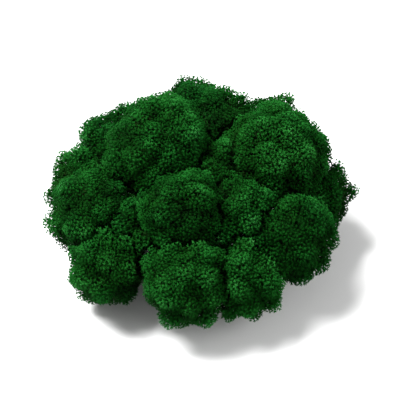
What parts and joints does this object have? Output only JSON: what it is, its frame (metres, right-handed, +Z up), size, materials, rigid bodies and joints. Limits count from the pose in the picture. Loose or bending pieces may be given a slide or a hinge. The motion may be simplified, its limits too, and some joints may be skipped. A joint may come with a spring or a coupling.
{
  "type": "reindeer moss clump",
  "caption": "Low dome of springy green lichen tufts, each a branching stalk with a rounded, lobed crown of fine star tips, resting on a small flat spot of trimmed stalk feet.",
  "frame": {"origin": "on the resting plane, under the middle of the clump's box", "axes": "+Z up, -Y towards the side that the picture shows, +X to the right as seen from that side"},
  "size_m": [0.0822, 0.0758, 0.042],
  "materials": {
    "dyed_lichen": "matte, velvety, finely branched"
  },
  "bodies": {
    "root": {"tuft_top_left": "dyed_lichen", "tuft_top_right": "dyed_lichen", "tuft_middle": "dyed_lichen", "tuft_left": "dyed_lichen", "tuft_front": "dyed_lichen", "tuft_right_front": "dyed_lichen", "tuft_back": "dyed_lichen", "tuft_back_left": "dyed_lichen", "tuft_back_right": "dyed_lichen", "tuft_right": "dyed_lichen", "tuft_front_left": "dyed_lichen", "tuft_front_right": "dyed_lichen", "tuft_left_back": "dyed_lichen", "tuft_top_back": "dyed_lichen", "tuft_inner_right": "dyed_lichen", "tuft_centre": "dyed_lichen", "tuft_inner_left": "dyed_lichen"}
  },
  "joints": []
}
